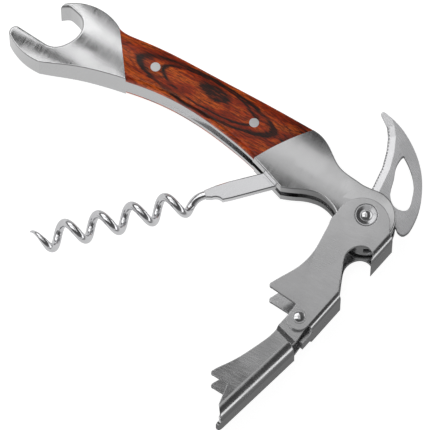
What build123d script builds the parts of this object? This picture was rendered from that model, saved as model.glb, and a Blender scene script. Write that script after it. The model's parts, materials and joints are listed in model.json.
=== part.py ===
from build123d import *

import os
from math import cos, pi, radians, sin

# Double-hinged lever corkscrew (waiter's friend), lying on its side and partly opened.
#
# Frame: +X along the handle from the cap lifter to the main pivot, +Y towards the handle's spine,
# +Z up through its thickness. The origin is the bottom centre of the whole opened tool.
# Sketch coordinates are measured from the main pivot. Every piece is symmetric about the mid-plane
# of the handle, except the worm's helix.

# ---- where the main pivot stands in the frame -------------------------------------------------
PIVOT_X, PIVOT_Y = 52.9, 21.17
MID_Z = 7.75             # half of the widest pieces, the rivets between the levers

# ---- handle -----------------------------------------------------------------------------------
CORE_HALF = 4.2          # half thickness of the steel between the two wood scales
BLOCK_HALF = 9.0         # half height of a block before its faces are crowned
CROWN_RADIUS = 65.0      # crowning of the handle's faces across its width
CROWN_RIDGE_Y = 4.0      # the crown's ridge passes this far above the main pivot ...
CROWN_TILT = -4.0        # ... and runs at this angle to the handle
CROWN_SECTOR = 44.0
CROWN_STATIONS = [(-124, 5.8), (-102, 6.3), (-74, 6.6), (-46, 6.5), (-33, 6.2), (-21, 5.75), (-9, 5.5),
                  (14, 5.5)]     # position along the handle and half thickness at the ridge
EAR_FLAT = 5.45          # half thickness of the ground flats under the lever's ears
EAR_FLAT_RADIUS = 9.0
EDGE_ROUND = 0.4         # round along the steel's crowned edges
JAW_ROUND = 0.7          # round inside the cap lifter's jaw
JAW_TIP = 2.0            # the jaw's upper tip is narrower than this, and stays crisp
SPINE_ROUND, BELLY_ROUND = 0.7, 1.8      # rounds along the wood's edges
SLOT_HALF = 1.65         # knife and worm slot through the bolster
SLOT_END_X = -37.5
CHANNEL_HALF = 2.3       # wider worm channel in the belly of the handle
SCALE_PINS = {"lifter_side_pin": (-75.0, 13.0), "bolster_side_pin": (-41.7, 10.7)}
SCALE_PIN_RADIUS = 1.45

# ---- pivots -----------------------------------------------------------------------------------
WORM_PIVOT = (-27.0, 2.0)
SPRING_PIN = (-16.6, 3.4)
HINGE = (-3.3, -36.4)    # hinge between the upper and the lower lever
PIN_RADIUS = 1.3
RUNNING = 0.05           # radial clearance of a turning fit
SNUG = 0.02              # radial clearance of a fixed pin
BLIND_HALF = 4.6         # half length of the pins hidden inside the bolster

# ---- sheet metal levers -----------------------------------------------------------------------
UPPER_SHEET, UPPER_INNER = 1.1, 5.9      # sheet thickness and inner half width
LOWER_SHEET, LOWER_EAR_INNER, LOWER_INNER = 1.0, 4.8, 5.6
UPPER_BEND, LOWER_BEND = 2.0, 3.6        # outer bend radii
LIP_SLOPE = 0.055        # outward slope of the flared lips
UPPER_BACK = [(10.1, -3.1), (1.7, -37.8)]      # outer face of the upper lever's bridge
LOWER_BACK = [(0.0, -45.9), (-8.75, -72.1)]    # outer face of the lower lever's bridge
LIP_BEND = [(-8.35, -14.5), (-5.9, -33.3)]     # the upper lips flare out beyond this line

# ---- worm and knife ---------------------------------------------------------------------------
WORM_ANGLE = 42.3        # opening angle of the worm from the handle's line
WIRE_RADIUS, COIL_RADIUS, PITCH = 1.25, 3.1, 9.97
COIL_START, COIL_END = 30.7, 75.7        # distances from the worm's pivot along its axis
SHANK_THICKNESS = 2.8
KNIFE_THICKNESS = 1.8
WASHER_RADIUS = 3.6
CUP_RADIUS = 3.3         # rivet cup in the upper lever's ear
CUP_DEPTH = 0.4
TURN_OF_CUP = 2 * pi * CUP_RADIUS        # length round the edge of the cup's recess


os.makedirs("parts", exist_ok=True)


def level(z=0.0):
    """Sketch plane parallel to the handle's sides, at a height above the mid-plane."""
    return Plane(origin=(PIVOT_X, PIVOT_Y, MID_Z + z))


MIDDLE = level()


def save(piece, name):
    piece.part.label = name
    export_step(piece.part, f"parts/{name}.step")


def across(radius, at, low, high, mode=Mode.SUBTRACT):
    """A round pin or hole along Z, between two heights above the mid-plane."""
    with BuildSketch(level(low)) as disc:
        with Locations(at):
            Circle(radius)
    extrude(disc.sketch, amount=high - low, mode=mode)


# ---- handle outline and crown -----------------------------------------------------------------
def handle_outline():
    """Side view of the handle: cap lifter, grip, bolster and nose."""
    with BuildLine() as edge:
        jaw_top = ThreePointArc((-107.7, 18.8), (-99.0, 22.05), (-90.1, 19.4))
        spine = Spline((-90.1, 19.4), (-82.5, 18.8), (-60, 18.6), (-42, 17.9), (-25.5, 17.0),
                       tangents=[jaw_top % 1, (1, -0.06)])
        shoulder = Spline((-25.5, 17.0), (-21.6, 16.0), (-17.6, 13.2), (-13.2, 10.0), (-7.5, 8.75),
                          (-0.9, 8.553), tangents=[spine % 1, (1, 0.1)])
        ThreePointArc(shoulder @ 1, (6.081, -6.081), (-8.1, -2.89))
        Spline((-8.1, -2.89), (-11.2, -0.85), (-15.2, 0.0), (-19.5, -0.75), (-26.1, -3.2),
               tangents=[(-1, 1.1), (-1, -0.3)])
        Spline((-26.1, -3.2), (-37.3, 1.3), (-46.5, 3.9), (-56, 5.8), (-66, 6.75), (-75.3, 6.45), (-81, 5.75),
               (-95.7, 2.85), (-106.2, -0.6), tangents=[(-1, 0.4), (-1, -0.3)])
        ThreePointArc((-106.2, -0.6), (-112.6, 0.3), (-118.0, 3.3))
        ThreePointArc((-118.0, 3.3), (-118.2, 5.3), (-116.5, 6.45))
        Line((-116.5, 6.45), (-106.9, 5.2))
        Spline((-106.9, 5.2), (-101.4, 8.0), (-99.5, 13.0), (-101.5, 17.0), (-104.6, 18.2), (-108.1, 17.0),
               tangents=[(1, -0.05), (-1, -0.75)])
        Line((-108.1, 17.0), (-107.7, 18.8))
    make_face(edge.edges())


def scale_band():
    """The band across the handle that the wood scales fill, drawn past its edges."""
    with BuildLine() as edge:
        Polyline((-23.4, 19.4), (-91.4, 21.4), (-79.4, 3.2), (-39.2, -3.0))
        ThreePointArc((-39.2, -3.0), (-33.2, 7.0), (-23.4, 19.4))
    make_face(edge.edges())


def crown_block():
    """Everything under the crowned front face of the handle, down to the crown's own axis."""
    tilt = radians(CROWN_TILT)
    along = Vector(cos(tilt), sin(tilt), 0)
    sink = CROWN_RADIUS - max(height for _, height in CROWN_STATIONS)
    foot = Vector(PIVOT_X, PIVOT_Y + CROWN_RIDGE_Y, MID_Z - sink)
    axis = Axis(foot, along)
    facing = Vector(sin(tilt), -cos(tilt), 0).rotate(Axis((0, 0, 0), along), -CROWN_SECTOR / 2)
    section = Plane(origin=foot, x_dir=along, z_dir=facing)
    with BuildPart() as block:
        with BuildSketch(section):
            with BuildLine():
                ridge = Spline(*[(x, sink + height) for x, height in CROWN_STATIONS])
                first, last = CROWN_STATIONS[0][0], CROWN_STATIONS[-1][0]
                Polyline(ridge @ 1, (last, sink - 12), (first, sink - 12), ridge @ 0)
            make_face()
        revolve(axis=axis, revolution_arc=CROWN_SECTOR)
    return block.part


CROWN = crown_block()


def crowned_slab(low):
    """Front half of the handle's shape, from a height above the mid-plane up to its crowned face."""
    with BuildSketch(level(low)) as side:
        handle_outline()
    extrude(side.sketch, amount=BLOCK_HALF - low)
    add(CROWN, mode=Mode.INTERSECT)


# ---- body: cap lifter, core and bolster in one casting ----------------------------------------
def jaw_edges(rim):
    """The edges of the front face round the inside of the cap lifter's jaw and its lower lip."""
    jaw_side = rim.filter_by_position(Axis.X, PIVOT_X - 120, PIVOT_X - 95)
    return jaw_side.filter_by_position(Axis.Y, PIVOT_Y + 4, PIVOT_Y + 14)


with BuildPart() as body:
    crowned_slab(0)
    fillet(jaw_edges(body.faces().sort_by(Axis.Z)[-1].edges()), JAW_ROUND)
    rim = body.faces().sort_by(Axis.Z)[-1].edges()
    jaw = jaw_edges(rim)
    fillet(rim.filter_by(lambda edge: edge not in jaw and edge.length > JAW_TIP), EDGE_ROUND)
    with BuildSketch(level(CORE_HALF)):
        scale_band()
    extrude(amount=BLOCK_HALF, mode=Mode.SUBTRACT)
    across(EAR_FLAT_RADIUS, (0, 0), EAR_FLAT, BLOCK_HALF)
    with BuildSketch(MIDDLE):
        with BuildLine():
            Polyline((SLOT_END_X, -8), (15, -8), (15, 22), (SLOT_END_X, 22), (SLOT_END_X, -8))
        make_face()
    extrude(amount=SLOT_HALF, mode=Mode.SUBTRACT)
    with BuildSketch(MIDDLE):
        with BuildLine():
            floor = ThreePointArc((-75.5, 6.25), (-57.0, 7.1), (SLOT_END_X, 5.2))
            Polyline(floor @ 1, (SLOT_END_X, -6), (-75.5, -6), floor @ 0)
        make_face()
    extrude(amount=CHANNEL_HALF, mode=Mode.SUBTRACT)
    across(PIN_RADIUS + SNUG, (0, 0), 0, BLOCK_HALF)
    across(PIN_RADIUS, WORM_PIVOT, 0, BLIND_HALF)
    across(PIN_RADIUS, SPRING_PIN, 0, BLIND_HALF)
    for spot in SCALE_PINS.values():
        across(SCALE_PIN_RADIUS, spot, 0, BLOCK_HALF)
    mirror(about=MIDDLE)
save(body, "body")

# ---- wood scales ------------------------------------------------------------------------------
with BuildPart() as front_scale:
    crowned_slab(CORE_HALF)
    with BuildSketch(level(CORE_HALF)):
        scale_band()
    extrude(amount=BLOCK_HALF, mode=Mode.INTERSECT)
    long_edges = front_scale.faces().sort_by(Axis.Z)[-1].edges().sort_by(SortBy.LENGTH)[-2:]
    spine_edge, belly_edge = long_edges.sort_by(Axis.Y, reverse=True)
    fillet(spine_edge, SPINE_ROUND)
    fillet(belly_edge, BELLY_ROUND)
    for spot in SCALE_PINS.values():
        across(SCALE_PIN_RADIUS, spot, 0, BLOCK_HALF)
save(front_scale, "front_scale")

with BuildPart() as rear_scale:
    add(front_scale.part)
    mirror(about=MIDDLE, mode=Mode.REPLACE)
save(rear_scale, "rear_scale")

for pin_name, spot in SCALE_PINS.items():
    with BuildPart() as scale_pin:
        across(SCALE_PIN_RADIUS - SNUG, spot, 0, BLOCK_HALF, Mode.ADD)
        add(CROWN, mode=Mode.INTERSECT)
        mirror(about=MIDDLE)
    save(scale_pin, pin_name)

# ---- pins and spring inside the bolster -------------------------------------------------------
for pin_name, spot in {"worm_pin": WORM_PIVOT, "spring_pin": SPRING_PIN}.items():
    with BuildPart() as hidden_pin:
        across(PIN_RADIUS - SNUG, spot, -BLIND_HALF, BLIND_HALF, Mode.ADD)
    save(hidden_pin, pin_name)

SPRING_HALF = 1.4
with BuildPart() as back_spring:
    with BuildSketch(level(-SPRING_HALF)):
        with BuildLine():
            under = ThreePointArc((-22.4, 0.7), (-15.5, 1.5), (-8.3, 0.7))
            Line(under @ 1, (-8.3, 1.6))
            upper = Spline((-8.3, 1.6), (-12.4, 3.2), (-16.6, 5.2), (-21.0, 4.4), (-23.0, 2.6))
            Line(upper @ 1, under @ 0)
        make_face()
    extrude(amount=2 * SPRING_HALF)
    across(PIN_RADIUS, SPRING_PIN, -SPRING_HALF, SPRING_HALF)
save(back_spring, "back_spring")

# ---- main rivet with its cups and washers -----------------------------------------------------
EAR_OUTER = UPPER_INNER + UPPER_SHEET
with BuildPart() as main_rivet:
    across(PIN_RADIUS, (0, 0), 0, EAR_OUTER, Mode.ADD)
    with BuildSketch(Plane(origin=MIDDLE.origin, x_dir=(1, 0, 0), z_dir=(0, -1, 0))):
        with BuildLine():
            dome = ThreePointArc((0, EAR_OUTER + 0.62), (1.0, EAR_OUTER + 0.42), (1.62, EAR_OUTER))
            Polyline(dome @ 1, (1.62, EAR_OUTER - 0.12), (0, EAR_OUTER - 0.12), dome @ 0)
        make_face()
    revolve(axis=Axis(MIDDLE.origin, (0, 0, 1)))
    mirror(about=MIDDLE)
save(main_rivet, "main_rivet")


def ring(outer, inner, at, low, high):
    """A flat washer about a pivot."""
    across(outer, at, low, high, Mode.ADD)
    across(inner, at, low, high)


WASHER_BORE = PIN_RADIUS + SNUG
WASHERS = {
    "ear_washer": (WASHER_RADIUS, (0, 0), EAR_FLAT, UPPER_INNER - 0.05),
    "knife_washer": (WASHER_RADIUS, (0, 0), KNIFE_THICKNESS / 2 + 0.05, SLOT_HALF),
    "hinge_washer": (2.1, HINGE, EAR_OUTER, EAR_OUTER + 0.15),
}
for washer_name, (outer, spot, low, high) in WASHERS.items():
    for side, (bottom, top) in {"front": (low, high), "rear": (-high, -low)}.items():
        with BuildPart() as washer:
            ring(outer, WASHER_BORE, spot, bottom, top)
        save(washer, f"{side}_{washer_name}")

# The dished cup round each end of the main rivet is thin at its bore and slopes up to its rim.
CUP_FLOOR = EAR_OUTER - CUP_DEPTH
CUP_RIM = CUP_RADIUS - 0.1
with BuildPart() as front_rivet_cup:
    with BuildSketch(Plane(origin=MIDDLE.origin, x_dir=(1, 0, 0), z_dir=(0, -1, 0))):
        with BuildLine():
            Polyline((WASHER_BORE, CUP_FLOOR), (CUP_RIM, CUP_FLOOR), (CUP_RIM, EAR_OUTER - 0.03),
                     (CUP_RIM - 0.3, EAR_OUTER - 0.03), (1.85, CUP_FLOOR + 0.1), (WASHER_BORE, CUP_FLOOR + 0.1),
                     (WASHER_BORE, CUP_FLOOR))
        make_face()
    revolve(axis=Axis(MIDDLE.origin, (0, 0, 1)))
save(front_rivet_cup, "front_rivet_cup")

with BuildPart() as rear_rivet_cup:
    add(front_rivet_cup.part)
    mirror(about=MIDDLE, mode=Mode.REPLACE)
save(rear_rivet_cup, "rear_rivet_cup")

# ---- hinge rivet between the levers -----------------------------------------------------------
HINGE_HEAD_Z = EAR_OUTER + 0.15
HINGE_HEAD_RADIUS, HINGE_HEAD = 1.6, 0.6
with BuildPart() as hinge_rivet:
    across(PIN_RADIUS, HINGE, 0, HINGE_HEAD_Z, Mode.ADD)
    hinge_middle = MIDDLE.from_local_coords(HINGE)
    with BuildSketch(Plane(origin=hinge_middle, x_dir=(1, 0, 0), z_dir=(0, -1, 0))):
        with BuildLine():
            dome = ThreePointArc((0, HINGE_HEAD_Z + HINGE_HEAD), (0.95, HINGE_HEAD_Z + 0.42),
                                 (HINGE_HEAD_RADIUS, HINGE_HEAD_Z + 0.1))
            Polyline(dome @ 1, (HINGE_HEAD_RADIUS, HINGE_HEAD_Z), (0, HINGE_HEAD_Z), dome @ 0)
        make_face()
    revolve(axis=Axis(hinge_middle, (0, 0, 1)))
    mirror(about=MIDDLE)
save(hinge_rivet, "hinge_rivet")


# ---- sheet metal ------------------------------------------------------------------------------
def channel(back, inner, sheet, bend):
    """Leave a U of sheet from the block in hand: two side plates and a bridge along back."""
    start, end = Vector(*back[0]), Vector(*back[1])
    run = (end - start).normalized()
    section = Plane(origin=MIDDLE.from_local_coords(start - run * 40), x_dir=(-run.Y, run.X, 0), z_dir=run)
    depth = 60           # deeper than any side plate
    for half, wall, mode in ((inner + sheet, 0, Mode.INTERSECT), (inner, sheet, Mode.SUBTRACT)):
        with BuildSketch(section) as profile:
            with Locations((-depth - wall, 0)):
                RectangleRounded(2 * depth, 2 * half, bend - wall)
        extrude(profile.sketch, amount=120, mode=mode)


REACH = 30.0             # longer than any side plate is wide


def sloping_plate(outline, hinge_line, low, sheet, slope):
    """A side plate that rises or falls away from a line in its own plane."""
    start, end = Vector(*hinge_line[0]), Vector(*hinge_line[1])
    run = (end - start).normalized()
    with BuildPart() as plate:
        with BuildSketch(MIDDLE):
            outline()
        extrude(amount=BLOCK_HALF + 2)
        origin = MIDDLE.from_local_coords(start - run * 10)
        with BuildSketch(Plane(origin=origin, x_dir=(run.Y, -run.X, 0), z_dir=-run)):
            with BuildLine():
                end_low = low + REACH * slope
                Polyline((0, low), (REACH, end_low), (REACH, end_low + sheet), (0, low + sheet), (0, low))
            make_face()
        extrude(amount=-60, mode=Mode.INTERSECT)
    return plate.part


def back_point(back, y, depth=0.0):
    """Point on a bridge's outer face, or some depth inside it."""
    (x0, y0), (x1, y1) = back
    run = Vector(x1 - x0, y1 - y0).normalized()
    x = x0 + (y - y0) * (x1 - x0) / (y1 - y0)
    return (x + run.Y * depth, y - run.X * depth)


def tongue(back, sheet, top, bottom, half):
    """The middle of a bridge, carried on past the ends of its side plates."""
    with BuildSketch(level(-half)) as strip:
        with BuildLine():
            Polyline(back_point(back, top), back_point(back, bottom), back_point(back, bottom, sheet),
                     back_point(back, top, sheet), back_point(back, top))
        make_face()
    extrude(strip.sketch, amount=2 * half)


# ---- upper lever ------------------------------------------------------------------------------
def upper_side():
    """Side view of the upper lever up to the line where its lips flare out."""
    bend_top, bend_bottom = LIP_BEND
    with BuildLine() as edge:
        Line(bend_top, (-8.3, -8.5))
        Spline((-8.3, -8.5), (-8.5, -5.6), (-7.9, -3.2), tangents=[(0, 1), (0.25, 1)])
        ThreePointArc((-7.9, -3.2), (0.3, 5.0), (8.2, -1.4))
        Polyline((8.2, -1.4), UPPER_BACK[0], back_point(UPPER_BACK, -12.4))
        Spline(back_point(UPPER_BACK, -12.4), (7.2, -10.2), (4.4, -8.7), (2.2, -9.5), (0.7, -11.3), (0.1, -13.7),
               (0.6, -16.1), (1.7, -19.2), (2.6, -22.0), (3.5, -24.8), tangents=[(-0.9, 0.5), (0.35, -0.94)])
        Polyline((3.5, -24.8), back_point(UPPER_BACK, -25.6), UPPER_BACK[1], (0.2, -37.6))
        ThreePointArc((0.2, -37.6), (-3.4, -40.4), (-6.5, -38.4))
        Line((-6.5, -38.4), bend_bottom)
        Line(bend_bottom, bend_top)
    make_face(edge.edges())


def upper_lip():
    """The flared lip, closed by the line where it bends out."""
    with BuildLine() as edge:
        top, bottom = LIP_BEND
        Spline(top, (-8.75, -18.2), (-10.3, -22.9), (-12.7, -27.0), (-15.0, -30.8),
               tangents=[(0, -1), (-0.5, -0.9)])
        ThreePointArc((-15.0, -30.8), (-15.1, -31.9), (-14.2, -32.2))
        Line((-14.2, -32.2), bottom)
        Line(bottom, top)
    make_face(edge.edges())


TONGUE_HALF = 2.7
with BuildPart() as upper_lever:
    with BuildSketch(MIDDLE):
        upper_side()
    extrude(amount=EAR_OUTER, both=True)
    channel(UPPER_BACK, UPPER_INNER, UPPER_SHEET, UPPER_BEND)
    tongue(UPPER_BACK, UPPER_SHEET, -36.0, -42.0, TONGUE_HALF)
    lip = sloping_plate(upper_lip, LIP_BEND, UPPER_INNER, UPPER_SHEET, LIP_SLOPE)
    add([lip, lip.mirror(MIDDLE)])
    for low, high in ((EAR_OUTER - CUP_DEPTH, BLOCK_HALF), (-BLOCK_HALF, CUP_DEPTH - EAR_OUTER)):
        across(CUP_RADIUS, (0, 0), low, high)
    across(PIN_RADIUS + RUNNING, (0, 0), -BLOCK_HALF, BLOCK_HALF)
    across(PIN_RADIUS + SNUG, HINGE, -BLOCK_HALF, BLOCK_HALF)
    faces = upper_lever.faces().filter_by(Axis.Z).group_by(Axis.Z)
    recesses = [edge for edge in (faces[0] + faces[-1]).edges() if abs(edge.length - TURN_OF_CUP) < 0.01]
    chamfer(recesses, 0.12)
save(upper_lever, "upper_lever")

# ---- lower lever ------------------------------------------------------------------------------
TONGUE_ROUND = 1.4
JOG = [(-7.7, -41.0), (-0.9, -43.4)]         # here the ears step out to the side plates
JOG_END = [(-7.5, -42.6), (-1.42, -44.9)]


def lower_side():
    """Side view of the lower lever below its stepped ears."""
    with BuildLine() as edge:
        Spline(JOG_END[0], (-10.1, -49.1), (-13.3, -55.0), (-16.3, -59.2), (-18.2, -62.0),
               tangents=[(-0.2, -1), (-0.5, -1)])
        ThreePointArc((-18.2, -62.0), (-18.2, -62.9), (-17.4, -63.1))
        Line((-17.4, -63.1), (-12.6, -63.6))
        Polyline((-12.6, -63.6), (-12.0, -70.2), (-9.8, -73.4), back_point(LOWER_BACK, -73.4), LOWER_BACK[0],
                 JOG_END[1], JOG_END[0])
    make_face(edge.edges())


def lower_ear():
    """Ear of the lower lever, inside the upper lever's."""
    with BuildLine() as edge:
        Line(JOG[1], (-0.1, -37.4))
        ThreePointArc((-0.1, -37.4), (-3.3, -33.0), (-6.6, -36.8))
        Polyline((-6.6, -36.8), JOG[0], JOG[1])
    make_face(edge.edges())


def lower_step():
    """The joggle between an ear and its side plate."""
    with BuildLine() as edge:
        Polyline(JOG[0], JOG[1], JOG_END[1], JOG_END[0], JOG[0])
    make_face(edge.edges())


with BuildPart() as lower_lever:
    with BuildSketch(MIDDLE):
        lower_side()
    extrude(amount=LOWER_INNER + LOWER_SHEET, both=True)
    channel(LOWER_BACK, LOWER_INNER, LOWER_SHEET, LOWER_BEND)
    tongue(LOWER_BACK, LOWER_SHEET, -72.0, -75.0, 3.1)
    fillet(lower_lever.faces().sort_by(Axis.Y)[0].edges().group_by(SortBy.LENGTH)[0], TONGUE_ROUND)
    ear = sloping_plate(lower_ear, JOG[::-1], LOWER_EAR_INNER, LOWER_SHEET, 0)
    step_slope = (LOWER_INNER - LOWER_EAR_INNER) / 1.6
    step = sloping_plate(lower_step, JOG, LOWER_EAR_INNER, LOWER_SHEET, step_slope)
    add([ear, step, ear.mirror(MIDDLE), step.mirror(MIDDLE)])
    across(PIN_RADIUS + RUNNING, HINGE, -BLOCK_HALF, BLOCK_HALF)
save(lower_lever, "lower_lever")

# ---- worm -------------------------------------------------------------------------------------
angle = radians(WORM_ANGLE)
WORM_AXIS = Vector(-cos(angle), -sin(angle), 0)
WORM = Plane(origin=MIDDLE.from_local_coords(WORM_PIVOT), x_dir=WORM_AXIS, z_dir=(0, 0, -1))
BOSS_RADIUS = 3.1
TURN = 360 / PITCH       # degrees of turn for each millimetre along the axis
PHASE = -19.6 - TURN * 35.7
TAPER_START = COIL_END - 0.4 * PITCH


def coil_point(s, radius=COIL_RADIUS):
    """Centre of the wire at a distance along the worm's axis, in the worm's own plane."""
    turn = radians(PHASE + TURN * s)
    return Vector(s, radius * cos(turn), radius * sin(turn))


def coil_path(start, end):
    """Right-handed helix between two distances along the axis."""
    foot = WORM.from_local_coords(Vector(start, 0, 0))
    spoke = WORM.from_local_coords(coil_point(start)) - foot
    return Plane(origin=foot, x_dir=spoke, z_dir=WORM_AXIS) * Helix(PITCH, end - start, COIL_RADIUS)


def wire_section(path, at, radius):
    """Round section across a path."""
    return Plane(origin=path @ at, z_dir=path % at) * Circle(radius)


coil = coil_path(COIL_START, TAPER_START)
taper = coil_path(TAPER_START, COIL_END)
NECK = [(18.0, 0.6, 0), (22.8, 0.8, 0.15), (26.5, 0.7, 1.4), (28.9, -0.9, 2.6), coil_point(COIL_START)]
neck_points = [WORM.from_local_coords(point) for point in NECK]
neck = Spline(*neck_points, tangents=[WORM_AXIS, coil % 0])
neck_section = wire_section(neck, 0, WIRE_RADIUS)
coil_section = wire_section(coil, 0, WIRE_RADIUS)
taper_sections = [wire_section(taper, 0, WIRE_RADIUS), wire_section(taper, 1, 0.25)]

with BuildPart() as worm:
    half = SHANK_THICKNESS / 2
    with BuildSketch(WORM.offset(-half)):
        with BuildLine():
            Polyline((0, -2.45), (17.0, -2.55), (19.6, -2.4))
            ThreePointArc((19.6, -2.4), (20.6, -1.3), (22.4, -0.9))
            Polyline((22.4, -0.9), (24.0, -0.4), (24.0, 1.9), (20.5, 2.35), (16.5, 2.6), (0, 2.4), (0, -2.45))
        make_face()
        Circle(BOSS_RADIUS)
    extrude(amount=2 * half)
    edges = worm.faces().filter_by(Axis.Z).edges()
    chamfer(edges, 0.3)
    across(PIN_RADIUS + RUNNING, WORM_PIVOT, -BLOCK_HALF, BLOCK_HALF)
    sweep(sections=neck_section, path=neck)
    sweep(sections=coil_section, path=coil, is_frenet=True)
    sweep(sections=taper_sections, path=taper, multisection=True, is_frenet=True)
save(worm, "worm")

# ---- knife ------------------------------------------------------------------------------------
TANG_RADIUS = 7.8
BEVEL_TAPER = 73         # the ground edge slopes this far from upright
EDGE = [(-7.6, 28.9), (-5.9, 26.2), (-4.4, 22.2), (-3.3, 17.2), (-3.0, 9.6)]      # line of the serrated edge


def knife_outline():
    """Side view of the foil knife, opened."""
    with BuildLine() as edge:
        Polyline((-3.0, 4.0), *EDGE[::-1], (-10.8, 31.5))
        ThreePointArc((-10.8, 31.5), (-10.8, 32.4), (-10.0, 32.6))
        Line((-10.0, 32.6), (-8.2, 32.1))
        Spline((-8.2, 32.1), (-4.1, 30.6), (0.8, 27.6), (4.6, 24.3), (8.0, 20.1), (10.6, 15.1), (12.3, 9.2),
               (12.5, 3.6), (11.9, 1.8), tangents=[(1, -0.3), (-0.6, -1)])
        Spline((11.9, 1.8), (10.9, 1.1), (9.4, 1.5), (8.0, 2.6), tangents=[(-0.6, -1), (-1, 0.6)])
        Line((8.0, 2.6), (2.0, 2.6))
        Line((2.0, 2.6), (-3.0, 4.0))
    make_face(edge.edges())


def knife_window():
    """Long opening in the blade that a thumb catches."""
    with BuildLine() as edge:
        Spline((1.0, 22.9), (4.3, 20.2), (7.4, 16.2), (8.9, 11.8), (8.9, 8.4), (6.4, 7.6), (2.6, 10.6),
               (1.2, 16.0), (0.3, 21.5), periodic=True)
    make_face(edge.edges())


with BuildPart() as knife:
    with BuildSketch(MIDDLE):
        knife_outline()
        Circle(TANG_RADIUS)
    extrude(amount=KNIFE_THICKNESS / 2)
    with BuildSketch(MIDDLE):
        knife_window()
    extrude(amount=KNIFE_THICKNESS, mode=Mode.SUBTRACT)
    with BuildSketch(MIDDLE):
        with BuildLine():
            Polyline((-13.5, 33.2), (-8.2, 28.4), (-6.5, 25.9), (-5.0, 22.0), (-3.9, 17.1), (-3.6, 9.5),
                     (-3.6, -20), (30, -20), (30, 48), (-30, 48), (-13.5, 33.2))
        make_face()
    extrude(amount=KNIFE_THICKNESS / 2, taper=BEVEL_TAPER, mode=Mode.INTERSECT)
    for start, end, count in zip(EDGE, EDGE[1:], (3, 4, 6, 8)):
        for tooth in range(count):
            share = (tooth + 0.5) / count
            gap = (start[0] + share * (end[0] - start[0]) - 0.2, start[1] + share * (end[1] - start[1]))
            with Locations(MIDDLE.from_local_coords(gap)):
                Cone(0.2, 1.74, 1.0, align=(Align.CENTER, Align.CENTER, Align.MIN), mode=Mode.SUBTRACT)
    mirror(about=MIDDLE)
    across(PIN_RADIUS + RUNNING, (0, 0), -BLOCK_HALF, BLOCK_HALF)
save(knife, "knife")
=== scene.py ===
import json
import math

import bpy
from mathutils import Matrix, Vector


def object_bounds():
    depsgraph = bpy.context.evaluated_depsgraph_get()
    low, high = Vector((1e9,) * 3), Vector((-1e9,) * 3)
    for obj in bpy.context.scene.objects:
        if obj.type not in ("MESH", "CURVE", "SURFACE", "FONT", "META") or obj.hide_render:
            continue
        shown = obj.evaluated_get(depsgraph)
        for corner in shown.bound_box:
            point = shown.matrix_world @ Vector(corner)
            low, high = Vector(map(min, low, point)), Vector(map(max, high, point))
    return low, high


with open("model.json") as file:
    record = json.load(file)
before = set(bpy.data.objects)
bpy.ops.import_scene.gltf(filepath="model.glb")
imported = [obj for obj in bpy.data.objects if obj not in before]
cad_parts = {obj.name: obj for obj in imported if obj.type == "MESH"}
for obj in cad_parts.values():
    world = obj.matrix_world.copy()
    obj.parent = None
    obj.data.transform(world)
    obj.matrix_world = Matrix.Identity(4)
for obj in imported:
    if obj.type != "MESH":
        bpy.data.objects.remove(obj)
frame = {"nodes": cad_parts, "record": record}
cad_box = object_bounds()
record = frame["record"]
nodes = frame["nodes"]

MM = 0.001                                                    # metres in a millimetre
# The view: azimuth round the object, elevation above the floor, and the square frame that the object fills.
AZIMUTH, ELEVATION = math.radians(27), math.radians(71)
FRAME_WIDTH, OBJECT_WIDTH = 430, 427                          # parts of the image's width
DISTANCE = 2.0                                                # from the object to the camera, in metres
SENSOR = 36                                                   # the camera's sensor width, in mm

RIGHT = Vector((math.cos(AZIMUTH), math.sin(AZIMUTH), 0))     # level direction to the right of the view
AWAY = Vector((-math.sin(AZIMUTH), math.cos(AZIMUTH), 0))     # level direction away from the camera
LOOK = AWAY * math.cos(ELEVATION) - Vector((0, 0, math.sin(ELEVATION)))
UP = RIGHT.cross(LOOK)

# The main pivot, from which the materials' patterns are placed.
PIVOT = tuple(next(j["pos_m"] for j in record["behaviour"]["joints"] if j["name"] == "lever_pivot"))


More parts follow.
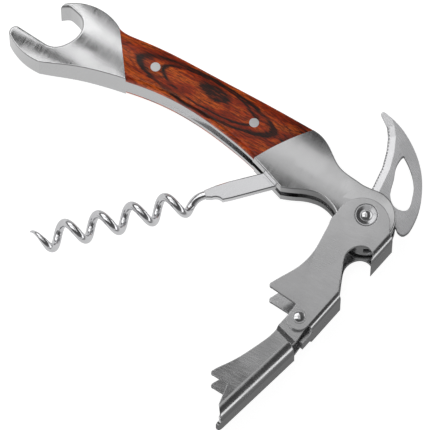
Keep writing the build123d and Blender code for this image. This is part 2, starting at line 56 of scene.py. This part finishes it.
# ---- node helpers -----------------------------------------------------------------------------
class Graph:
    """A material's node tree, with one short method for each kind of node it uses."""

    def __init__(self, name):
        self.material = bpy.data.materials.new(name)
        self.material.use_nodes = True
        self.tree = self.material.node_tree
        self.tree.nodes.clear()
        output = self.tree.nodes.new("ShaderNodeOutputMaterial")
        self.shader = self.tree.nodes.new("ShaderNodeBsdfPrincipled")
        self.link(self.shader.outputs["BSDF"], output.inputs["Surface"])
        self.place = self.tree.nodes.new("ShaderNodeTexCoord").outputs["Object"]

    def link(self, source, socket):
        """Joins an output to a socket, or sets the socket to a plain value."""
        if isinstance(source, (int, float, tuple)):
            socket.default_value = source
        else:
            self.tree.links.new(source, socket)

    def fill(self, node, sockets):
        """Fills a node's inputs from a dictionary, in which _ stands for a space."""
        for name, value in sockets.items():
            self.link(value, node.inputs[name.replace("_", " ")])
        return node

    def node(self, kind, **sockets):
        return self.fill(self.tree.nodes.new(kind), sockets)

    def mapping(self, location=(0, 0, 0), turn=0.0, size=(MM, MM, MM), source=None):
        """Coordinates counted from a location, turned about Z, in units of size."""
        node = self.node("ShaderNodeMapping", Vector=self.place if source is None else source,
                         Location=location, Rotation=(0, 0, turn), Scale=size)
        node.vector_type = "TEXTURE"
        return node.outputs["Vector"]

    def noise(self, vector, detail=2.0, roughness=0.5, distortion=0.0, output="Fac"):
        return self.node("ShaderNodeTexNoise", Vector=vector, Scale=1.0, Detail=detail, Roughness=roughness,
                         Distortion=distortion).outputs[output]

    def math(self, operation, a, b=0.0, clamp=False):
        node = self.tree.nodes.new("ShaderNodeMath")
        node.operation = operation
        node.use_clamp = clamp
        self.link(a, node.inputs[0])
        self.link(b, node.inputs[1])
        return node.outputs[0]

    def vector_math(self, operation, a, b=(0, 0, 0)):
        node = self.tree.nodes.new("ShaderNodeVectorMath")
        node.operation = operation
        self.link(a, node.inputs[0])
        self.link(b, node.inputs[1])
        return node.outputs["Value"] if operation == "LENGTH" else node.outputs["Vector"]

    def x_of(self, vector):
        return self.node("ShaderNodeSeparateXYZ", Vector=vector).outputs["X"]

    def spread(self, value, low, high, to_low=0.0, to_high=1.0):
        """A value from low to high is spread smoothly over to_low to to_high."""
        node = self.node("ShaderNodeMapRange", Value=value, From_Min=low, From_Max=high,
                         To_Min=to_low, To_Max=to_high)
        node.interpolation_type = "SMOOTHSTEP"
        return node.outputs["Result"]

    def ramp(self, value, stops):
        """Colours or greys at the positions of a ramp."""
        node = self.node("ShaderNodeValToRGB", Fac=value)
        fill_ramp(node.color_ramp.elements, stops)
        return node.outputs["Color"]

    def mix(self, amount, a, b):
        node = self.tree.nodes.new("ShaderNodeMix")
        node.data_type = "RGBA"
        self.link(amount, node.inputs["Factor"])
        colours = [socket for socket in node.inputs if socket.type == "RGBA"]
        for value, socket in zip((a, b), colours):
            self.link((*value, 1.0) if isinstance(value, tuple) else value, socket)
        return next(socket for socket in node.outputs if socket.type == "RGBA")

    def bump(self, height, distance, strength=1.0):
        return self.node("ShaderNodeBump", Height=height, Distance=distance, Strength=strength)

    def finish(self, **sockets):
        """Fills the shader's inputs and gives the finished material."""
        self.fill(self.shader, sockets)
        return self.material


def fill_ramp(elements, stops):
    while len(elements) < len(stops):
        elements.new(0.5)
    for element, (position, colour) in zip(elements, stops):
        element.position = position
        element.color = (*colour, 1.0) if isinstance(colour, tuple) else (colour, colour, colour, 1.0)


def scaled(colour, factor):
    return tuple(min(1.0, value * factor) for value in colour)


def linear(*display):
    """A colour given as 0 to 255 display values, as the linear values that shaders take."""
    shares = (value / 255 for value in display)
    return tuple(share / 12.92 if share <= 0.04045 else ((share + 0.055) / 1.055) ** 2.4 for share in shares)


# ---- metals -----------------------------------------------------------------------------------
BRUSH_DEPTH = 0.0006 * MM
BEVEL_SAMPLES = 6
STREAK_RANGE = (0.3, 0.7)                                     # the noise's usual low and high


def brushed(name, colour, roughness, degrees, line, length, contrast, edge=0.0):
    """Steel brushed along one direction: fine uneven lines, with soft patches where it wore unevenly.

    degrees is the brushing's direction in the XY plane, line a brushed line's width and length its length,
    and edge the radius to which light rounds the edges, all three in mm.
    """
    g = Graph(name)
    turn = math.radians(degrees)
    lines = g.noise(g.mapping(PIVOT, turn, (length * MM, line * MM, 0.6 * MM)), 3.0, 0.65)
    coarse = g.noise(g.mapping(PIVOT, turn, (length * 1.4 * MM, line * 4.5 * MM, 2 * MM)))
    patches = g.noise(g.mapping(PIVOT, 0.4, (9 * MM, 9 * MM, 9 * MM)))
    streak = g.math("ADD", g.math("MULTIPLY", lines, 0.8), g.math("MULTIPLY", coarse, 0.2))
    tone = g.ramp(g.spread(streak, *STREAK_RANGE),
                  [(0.0, scaled(colour, 1 - contrast)), (1.0, scaled(colour, 1 + contrast))])
    rough = g.math("ADD", g.spread(streak, *STREAK_RANGE, roughness - 0.05, roughness + 0.05),
                   g.spread(patches, 0.35, 0.65, -0.03, 0.04))
    relief = g.bump(streak, BRUSH_DEPTH)
    if edge:
        bevel = g.node("ShaderNodeBevel", Radius=edge * MM)
        bevel.samples = BEVEL_SAMPLES
        g.link(bevel.outputs["Normal"], relief.inputs["Normal"])
    return g.finish(Base_Color=tone, Roughness=rough, Normal=relief.outputs["Normal"], Metallic=1.0)


def polished(name, colour, roughness):
    """Bright steel with faint drawing marks and a little haze."""
    g = Graph(name)
    haze = g.noise(g.mapping(size=(4 * MM, 4 * MM, 4 * MM)), 3.0, 0.6)
    pits = g.noise(g.mapping(size=(0.4 * MM, 0.4 * MM, 0.4 * MM)))
    tone = g.ramp(haze, [(0.3, scaled(colour, 0.93)), (0.7, colour)])
    rough = g.spread(haze, *STREAK_RANGE, roughness, roughness + 0.07)
    relief = g.bump(pits, 0.002 * MM, 0.5)
    return g.finish(Base_Color=tone, Roughness=rough, Normal=relief.outputs["Normal"], Metallic=1.0)


# ---- wood -------------------------------------------------------------------------------------
# The figure's loops: centre from the main pivot in mm, turn in radians, half axes in mm.
OUTER_LOOP = ((-57.8, 12.0), -0.075, (22.2, 5.4))
INNER_LOOP = ((-57.2, 12.4), -0.09, (15.6, 4.4))
EYE = ((-56.0, 13.7), -0.10, (4.6, 1.9))
WANDER = (2.6, 1.5, 0.0)                                      # how far the loops stray, in mm
ECHOES = 44.0                                                 # faint rings, in radians for one loop's radius
GRAIN_TURN = -0.05                                            # the grain's direction, in radians
BOLSTER_END = (-38.0, -27.0)                                  # where the plies turn dark, in mm from the pivot
REDS = [(0.0, linear(160, 46, 10)), (0.5, linear(196, 68, 14)), (1.0, linear(224, 98, 26))]
DARK_WOOD, FIBRE = linear(36, 20, 14), linear(84, 26, 10)


def laminated_wood():
    """Red-brown laminated wood whose plies show as long dark loops about one eye."""
    g = Graph("laminated_wood")
    plain = g.mapping(PIVOT)                                  # millimetres from the main pivot

    def pattern(length, width, depth, turn, *settings, **more):
        """Noise drawn out along the handle, its measures in mm."""
        return g.noise(g.mapping(PIVOT, turn, (length * MM, width * MM, depth * MM)), *settings, **more)

    stray = g.vector_math("SUBTRACT", pattern(9, 4, 6, 0.0, 3.0, output="Color"), (0.5, 0.5, 0.5))
    shaken = g.vector_math("ADD", plain, g.vector_math("MULTIPLY", stray, WANDER))

    def loop(centre, turn, half_axes):
        """0 at a loop's centre and 1 on the loop itself, at any depth."""
        return g.vector_math("LENGTH", g.mapping((*centre, 0), turn, (*half_axes, 1000), shaken))

    def band(value, width, strength):
        """Darkness of a line that follows a loop, strongest on it and fading over a width."""
        away = g.math("ABSOLUTE", g.math("SUBTRACT", value, 1.0))
        return g.spread(away, 0.0, width, strength, 0.0)

    outer, inner, eye = loop(*OUTER_LOOP), loop(*INNER_LOOP), loop(*EYE)
    patchy = g.spread(pattern(12, 5, 10, 0.0), 0.3, 0.6, 0.4, 1.0)
    rings = g.math("MULTIPLY", g.math("ADD", band(outer, 0.12, 1.3), band(inner, 0.10, 1.1)), patchy)
    core = g.math("MULTIPLY", g.spread(eye, 1.5, 0.8, 0.0, 1.1),
                  g.spread(pattern(3, 0.6, 2, GRAIN_TURN, 3.0), 0.35, 0.6, 0.6, 1.0))
    echo = g.math("SINE", g.math("MULTIPLY", outer, ECHOES))
    rings = g.math("ADD", g.math("ADD", rings, core), g.math("MULTIPLY", g.spread(echo, 0.1, 1.0), 0.16))

    # Fine grain runs along the handle, and the plies stack darker towards the bolster.
    fine = pattern(3.4, 0.42, 0.8, GRAIN_TURN, 4.0, 0.7, 0.2)
    fibres = pattern(2.0, 0.30, 0.6, GRAIN_TURN, 2.0, 0.65)
    broad = pattern(14, 1.3, 4, -0.06, 4.0, 0.6, 0.4)
    streak = g.math("ADD", g.spread(fine, 0.50, 0.60, 0.0, 0.62), g.spread(broad, 0.54, 0.68, 0.0, 0.4))
    toward_bolster = g.spread(g.x_of(plain), *BOLSTER_END, 0.0, 0.45)
    darkness = g.math("ADD", g.math("ADD", rings, streak), toward_bolster, clamp=True)

    hue = g.spread(pattern(11, 3, 6, 0.0), 0.35, 0.65)
    colour = g.mix(darkness, g.ramp(hue, REDS), DARK_WOOD)
    colour = g.mix(g.spread(fibres, 0.46, 0.60, 0.0, 0.6), colour, FIBRE)
    relief = g.bump(g.math("ADD", fine, fibres), 0.01 * MM, 0.6)
    return g.finish(Base_Color=colour, Roughness=g.spread(fine, *STREAK_RANGE, 0.42, 0.55),
                    Normal=relief.outputs["Normal"],
                    Coat_Weight=0.3, Coat_Roughness=0.12, Specular_IOR_Level=0.12)


# ---- which piece has which finish -------------------------------------------------------------
HANDLE_STEEL = brushed("handle_steel", (0.56, 0.56, 0.565), 0.15, 90, line=0.09, length=6.0, contrast=0.06)
LEVER_STEEL = brushed("lever_steel", (0.50, 0.50, 0.505), 0.20, 0, line=0.11, length=4.0, contrast=0.09, edge=0.3)
BLADE_STEEL = brushed("blade_steel", (0.52, 0.52, 0.53), 0.26, -30, line=0.06, length=3.0, contrast=0.06, edge=0.15)
PIN_STEEL = brushed("pin_steel", (0.60, 0.60, 0.60), 0.34, 35, line=0.06, length=1.5, contrast=0.12)
CUP_STEEL = brushed("cup_steel", (0.50, 0.50, 0.51), 0.22, 10, line=0.06, length=1.0, contrast=0.08)
POLISHED = polished("polished_steel", (0.72, 0.72, 0.735), 0.11)
RIVET_STEEL = polished("rivet_steel", (0.70, 0.70, 0.71), 0.12)
WOOD = laminated_wood()

FINISHES = {
    "body": HANDLE_STEEL, "front_scale": WOOD, "rear_scale": WOOD,
    "upper_lever": LEVER_STEEL, "lower_lever": LEVER_STEEL,
    "front_hinge_washer": LEVER_STEEL, "rear_hinge_washer": LEVER_STEEL,
    "worm": POLISHED, "knife": BLADE_STEEL, "main_rivet": RIVET_STEEL, "hinge_rivet": RIVET_STEEL,
    "front_rivet_cup": CUP_STEEL, "rear_rivet_cup": CUP_STEEL,
}
for name, piece in nodes.items():
    piece.data.materials.clear()
    piece.data.materials.append(FINISHES.get(name, PIN_STEEL))

# ---- floor ------------------------------------------------------------------------------------
FLOOR_SIZE = 6.0
FLOOR_HEIGHT = cad_box[0][2]
FLOOR_ROUGHNESS = 0.9


def ground(name, material):
    bpy.ops.mesh.primitive_plane_add(size=FLOOR_SIZE, location=(0, 0, FLOOR_HEIGHT))
    plane = bpy.context.object
    plane.name = name
    plane.data.materials.append(material)
    return plane


g = Graph("floor_paper")
paper = g.ramp(g.noise(g.mapping(size=(10 * MM, 10 * MM, 10 * MM))), [(0.3, 0.30), (0.7, 0.32)])
floor = ground("floor", g.finish(Base_Color=paper, Roughness=FLOOR_ROUGHNESS,
                                 Emission_Color=(1.0, 1.0, 1.0, 1.0), Emission_Strength=0.92))
floor.visible_glossy = False

# The steel mirrors a glowing grey sheet, hidden from the camera, in place of the lit floor: a painted reflection,
# bright at the left and painted dark under the levers and knife.
SHEET_EDGE = (40 * MM, 15 * MM)
# Glow of the painted reflection, from dark under the levers and knife to bright at the left.
PAINTED_REFLECTION_TONES = (0.22, 0.74)
g = Graph("painted_reflection_sheet")
shade = ground("shade", g.finish(Base_Color=(0.0, 0.0, 0.0, 1.0), Roughness=FLOOR_ROUGHNESS, Emission_Strength=1.0,
                                 Emission_Color=g.spread(g.x_of(g.place), *SHEET_EDGE, *PAINTED_REFLECTION_TONES)))
shade.visible_camera = shade.visible_diffuse = shade.visible_shadow = False

# ---- surround: bright near the floor, dark above it -------------------------------------------
# Grey of the surround against the sine of the elevation.
SURROUND = [(0.0, 0.9), (0.10, 0.8), (0.28, 0.14), (0.85, 0.08), (1.0, 0.08)]
world = bpy.data.worlds.new("studio")
bpy.context.scene.world = world
world.use_nodes = True
tree = world.node_tree
tree.nodes.clear()
background = tree.nodes.new("ShaderNodeBackground")
output = tree.nodes.new("ShaderNodeOutputWorld")
direction = tree.nodes.new("ShaderNodeTexCoord")
split = tree.nodes.new("ShaderNodeSeparateXYZ")
sky = tree.nodes.new("ShaderNodeValToRGB")
fill_ramp(sky.color_ramp.elements, SURROUND)
tree.links.new(direction.outputs["Generated"], split.inputs[0])
tree.links.new(split.outputs["Z"], sky.inputs["Fac"])
tree.links.new(sky.outputs["Color"], background.inputs["Color"])
tree.links.new(background.outputs[0], output.inputs["Surface"])

# ---- lights -----------------------------------------------------------------------------------
# Level panels over the object, with narrow dark gaps that the steel mirrors as soft dark bands.
# Each is (name, from, to across the view, from, to away from the camera, radiance), in metres.
PANEL_HEIGHT = 0.35
PANELS = [
    ("left_near_lip", -0.50, -0.085, -0.12, 0.082, 1.5),
    ("left_far_lip", -0.50, -0.085, 0.116, 0.52, 1.6),
    ("left_near_grip", -0.078, -0.038, -0.12, 0.160, 1.4),
    ("left_far_grip", -0.078, -0.015, 0.205, 0.52, 1.6),
    ("pin_panel", -0.015, 0.008, 0.186, 0.52, 1.7),
    ("right_near_panel", -0.015, 0.034, -0.15, 0.010, 0.60),
    ("right_middle_panel", -0.015, 0.034, 0.074, 0.100, 0.64),
    ("right_far_panel", -0.015, 0.034, 0.100, 0.182, 0.85),
    ("side_near_panel", 0.034, 0.12, -0.15, 0.105, 0.64),
    ("side_far_panel", 0.034, 0.106, 0.105, 0.182, 0.88),
    ("right_top_panel", 0.008, 0.106, 0.182, 0.236, 0.85),
]
# A low upright strip at the right puts a bright line in the levers' bends.
STRIP_PLACE, STRIP_HEIGHT, STRIP_SIZE, STRIP_RADIANCE = (0.45, 0.0), 0.14, (0.16, 0.8), 1.3


def softbox(name, across, away, height, size, radiance, tilt=0.0):
    """A soft panel that shines straight down, or to the left when it is tilted up to a right angle."""
    data = bpy.data.lights.new(name, "AREA")
    data.shape = "RECTANGLE"
    data.size, data.size_y = size
    data.energy = radiance * math.pi * size[0] * size[1]
    lamp = bpy.data.objects.new(name, data)
    bpy.context.scene.collection.objects.link(lamp)
    lamp.location = RIGHT * across + AWAY * away + Vector((0, 0, height))
    lamp.rotation_euler = (0, tilt, AZIMUTH)
    lamp.visible_camera = False


for name, left, right, near, far, radiance in PANELS:
    softbox(name, (left + right) / 2, (near + far) / 2, PANEL_HEIGHT, (right - left, far - near), radiance)
softbox("right_strip", *STRIP_PLACE, STRIP_HEIGHT, STRIP_SIZE, STRIP_RADIANCE, math.radians(90))

# ---- camera -----------------------------------------------------------------------------------
# It stands far off with a long lens, and its view takes in the whole object.
shown = [piece.matrix_world @ vertex.co for piece in nodes.values() for vertex in piece.data.vertices]
across = [point.dot(RIGHT) for point in shown]
upward = [point.dot(UP) for point in shown]
depth = sum(point.dot(LOOK) for point in shown) / len(shown)
centre = RIGHT * (min(across) + max(across)) / 2 + UP * (min(upward) + max(upward)) / 2 + LOOK * depth
span = max(max(across) - min(across), max(upward) - min(upward)) * FRAME_WIDTH / OBJECT_WIDTH
camera_data = bpy.data.cameras.new("camera")
camera_data.sensor_width = SENSOR
camera_data.lens = SENSOR * DISTANCE / span
camera_data.clip_end = 10 * DISTANCE
camera = bpy.data.objects.new("camera", camera_data)
bpy.context.scene.collection.objects.link(camera)
camera.location = centre - LOOK * DISTANCE
camera.rotation_euler = LOOK.to_track_quat("-Z", "Y").to_euler()
bpy.context.scene.camera = camera
bpy.context.scene.view_settings.view_transform = "Standard"
